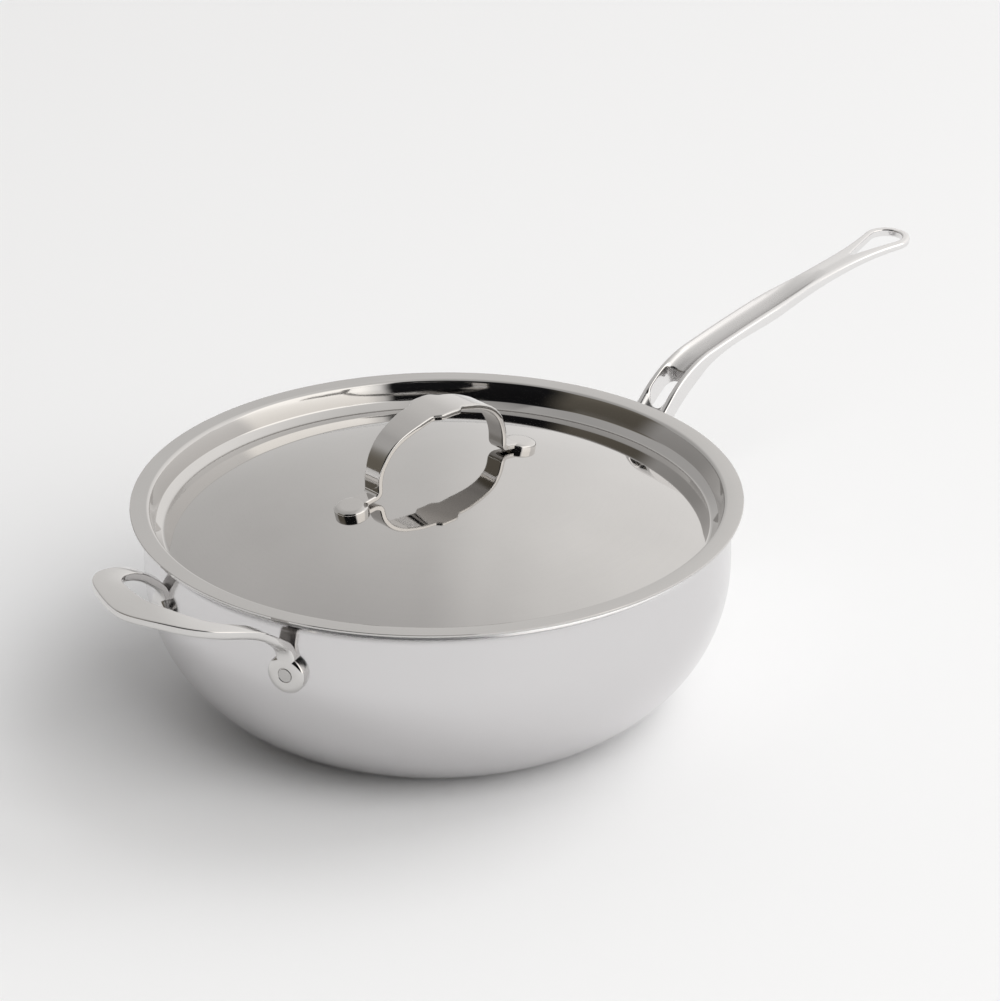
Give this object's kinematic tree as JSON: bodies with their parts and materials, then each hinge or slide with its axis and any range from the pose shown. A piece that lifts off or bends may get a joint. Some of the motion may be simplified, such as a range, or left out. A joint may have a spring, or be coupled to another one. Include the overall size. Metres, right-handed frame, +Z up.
{
  "type": "saute pan with lid",
  "caption": "Deep clad saute pan with a flared rim, a long cast handle and a loop helper handle on rivets, and a lift-off stepped lid with a strap handle.",
  "frame": {"origin": "centre of the flat base, on the surface that the pan stands on", "axes": "+Z up along the pan's axis, +X out along the long handle, the helper handle on the -X side"},
  "size_m": [0.5503, 0.296, 0.1529],
  "materials": {
    "brushed_body": "satin, brushed round the body",
    "core_aluminium": "rolled",
    "liner_steel": "satin, brushed round the inside",
    "cast_steel": "polished, with a bead-blasted hollow",
    "rivet_steel": "faced flat, fine turning marks",
    "polished_lid": "mirror polished stainless steel",
    "polished_strap": "polished, fine grain along the strap"
  },
  "bodies": {
    "pan": {"outer_skin": "brushed_body", "aluminium_core": "core_aluminium", "inner_liner": "liner_steel", "long_handle": "cast_steel", "handle_rivet_left": "rivet_steel", "handle_rivet_right": "rivet_steel", "handle_rivet_lower": "rivet_steel", "helper_handle": "cast_steel", "helper_rivet_left": "rivet_steel", "helper_rivet_right": "rivet_steel"},
    "lid": {"lid": "polished_lid", "lid_handle": "polished_strap"}
  },
  "joints": [
    {"name": "lid_lift", "type": "slide", "parent": "pan", "child": "lid", "axis": [0, 0, 1], "range_m": [0, 0.15]}
  ]
}
